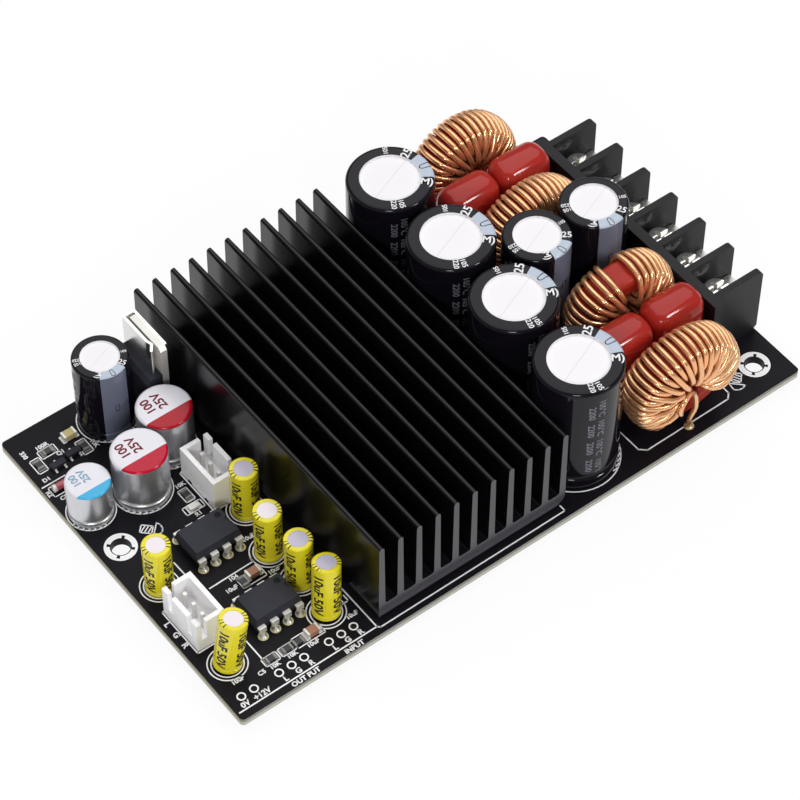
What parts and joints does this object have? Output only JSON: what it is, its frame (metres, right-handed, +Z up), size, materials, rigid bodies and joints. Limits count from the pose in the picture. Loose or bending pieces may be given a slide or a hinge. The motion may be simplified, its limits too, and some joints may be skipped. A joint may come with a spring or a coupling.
{
  "type": "audio amplifier board",
  "caption": "Stereo audio power amplifier board with a finned heatsink, wound toroids, electrolytic and film capacitors, plug connectors and a barrier screw terminal.",
  "frame": {"origin": "middle of the part's box, at the lowest solder tips under the board", "axes": "+Z up from the solder side, +X along the board to the screw terminal, +Y from the front edge with the open pin holes to the rear edge"},
  "size_m": [0.1216, 0.0731, 0.029],
  "materials": {
    "soldermask": "satin",
    "solder": "satin",
    "black_anodised": "satin",
    "zinc_steel": "satin",
    "chip_plastic": "matte",
    "black_sleeve": "gloss",
    "bare_can": "satin",
    "yellow_sleeve": "gloss",
    "red_core": "satin",
    "copper_wire": "gloss",
    "red_film": "gloss",
    "terminal_black": "satin",
    "nickel": "gloss",
    "white_nylon": "satin",
    "tinned_pin": "satin",
    "spring_steel": "satin",
    "chip_resistor_black": "matte",
    "ceramic_brown": "matte",
    "diode_glass": "gloss"
  },
  "bodies": {
    "board": {"circuit_board": "soldermask", "solder_joints": "solder", "heatsink": "black_anodised", "heatsink_screws": "zinc_steel", "amplifier_chip": "chip_plastic", "bulk_capacitor_1": "black_sleeve", "bulk_capacitor_2": "black_sleeve", "bulk_capacitor_3": "black_sleeve", "bulk_capacitor_4": "black_sleeve", "medium_capacitor_1": "black_sleeve", "medium_capacitor_2": "black_sleeve", "slim_capacitor": "black_sleeve", "polymer_capacitor_rear": "bare_can", "polymer_capacitor_front": "bare_can", "polymer_capacitor_small": "bare_can", "signal_capacitor_1": "yellow_sleeve", "signal_capacitor_2": "yellow_sleeve", "signal_capacitor_3": "yellow_sleeve", "signal_capacitor_4": "yellow_sleeve", "signal_capacitor_5": "yellow_sleeve", "signal_capacitor_6": "yellow_sleeve", "toroid_core_1": "red_core", "toroid_core_2": "red_core", "toroid_core_3": "red_core", "toroid_core_4": "red_core", "toroid_winding_1": "copper_wire", "toroid_winding_2": "copper_wire", "toroid_winding_3": "copper_wire", "toroid_winding_4": "copper_wire", "film_capacitor_1": "red_film", "film_capacitor_2": "red_film", "film_capacitor_3": "red_film", "film_capacitor_4": "red_film", "terminal_housing": "terminal_black", "terminal_contacts": "nickel", "signal_plug_rear": "white_nylon", "signal_plug_front": "white_nylon", "plug_pin_posts": "tinned_pin", "signal_chip_rear": "chip_plastic", "signal_chip_front": "chip_plastic", "signal_chip_leads": "tinned_pin", "regulator_body": "chip_plastic", "regulator_tab": "tinned_pin", "regulator_clip": "spring_steel", "chip_resistors": "chip_resistor_black", "ceramic_capacitors": "ceramic_brown", "small_transistors": "chip_plastic", "signal_diode": "diode_glass"},
    "clamp_1": {"terminal_clamp_1": "nickel"},
    "screw_1": {"terminal_screw_1": "nickel"},
    "clamp_2": {"terminal_clamp_2": "nickel"},
    "screw_2": {"terminal_screw_2": "nickel"},
    "clamp_3": {"terminal_clamp_3": "nickel"},
    "screw_3": {"terminal_screw_3": "nickel"},
    "clamp_4": {"terminal_clamp_4": "nickel"},
    "screw_4": {"terminal_screw_4": "nickel"},
    "clamp_5": {"terminal_clamp_5": "nickel"},
    "screw_5": {"terminal_screw_5": "nickel"},
    "clamp_6": {"terminal_clamp_6": "nickel"},
    "screw_6": {"terminal_screw_6": "nickel"}
  },
  "joints": [
    {"name": "clamp_1_rise", "type": "slide", "parent": "board", "child": "clamp_1", "axis": [0, 0, 1], "range_m": [0, 0.002]},
    {"name": "screw_1_turn", "type": "hinge", "parent": "clamp_1", "child": "screw_1", "pos_m": [0.05431, 0.0181, 0.01495], "axis": [0, 0, 1], "range_deg": [0, 1440]},
    {"name": "clamp_2_rise", "type": "slide", "parent": "board", "child": "clamp_2", "axis": [0, 0, 1], "range_m": [0, 0.002]},
    {"name": "screw_2_turn", "type": "hinge", "parent": "clamp_2", "child": "screw_2", "pos_m": [0.05431, 0.01048, 0.01495], "axis": [0, 0, 1], "range_deg": [0, 1440]},
    {"name": "clamp_3_rise", "type": "slide", "parent": "board", "child": "clamp_3", "axis": [0, 0, 1], "range_m": [0, 0.002]},
    {"name": "screw_3_turn", "type": "hinge", "parent": "clamp_3", "child": "screw_3", "pos_m": [0.05431, 0.00286, 0.01495], "axis": [0, 0, 1], "range_deg": [0, 1440]},
    {"name": "clamp_4_rise", "type": "slide", "parent": "board", "child": "clamp_4", "axis": [0, 0, 1], "range_m": [0, 0.002]},
    {"name": "screw_4_turn", "type": "hinge", "parent": "clamp_4", "child": "screw_4", "pos_m": [0.05431, -0.00476, 0.01495], "axis": [0, 0, 1], "range_deg": [0, 1440]},
    {"name": "clamp_5_rise", "type": "slide", "parent": "board", "child": "clamp_5", "axis": [0, 0, 1], "range_m": [0, 0.002]},
    {"name": "screw_5_turn", "type": "hinge", "parent": "clamp_5", "child": "screw_5", "pos_m": [0.05431, -0.01238, 0.01495], "axis": [0, 0, 1], "range_deg": [0, 1440]},
    {"name": "clamp_6_rise", "type": "slide", "parent": "board", "child": "clamp_6", "axis": [0, 0, 1], "range_m": [0, 0.002]},
    {"name": "screw_6_turn", "type": "hinge", "parent": "clamp_6", "child": "screw_6", "pos_m": [0.05431, -0.02, 0.01495], "axis": [0, 0, 1], "range_deg": [0, 1440]}
  ],
  "couplings": [
    {"joint": "screw_1_turn", "follows": "clamp_1_rise", "rad_per_m": 12566},
    {"joint": "screw_2_turn", "follows": "clamp_2_rise", "rad_per_m": 12566},
    {"joint": "screw_3_turn", "follows": "clamp_3_rise", "rad_per_m": 12566},
    {"joint": "screw_4_turn", "follows": "clamp_4_rise", "rad_per_m": 12566},
    {"joint": "screw_5_turn", "follows": "clamp_5_rise", "rad_per_m": 12566},
    {"joint": "screw_6_turn", "follows": "clamp_6_rise", "rad_per_m": 12566}
  ]
}
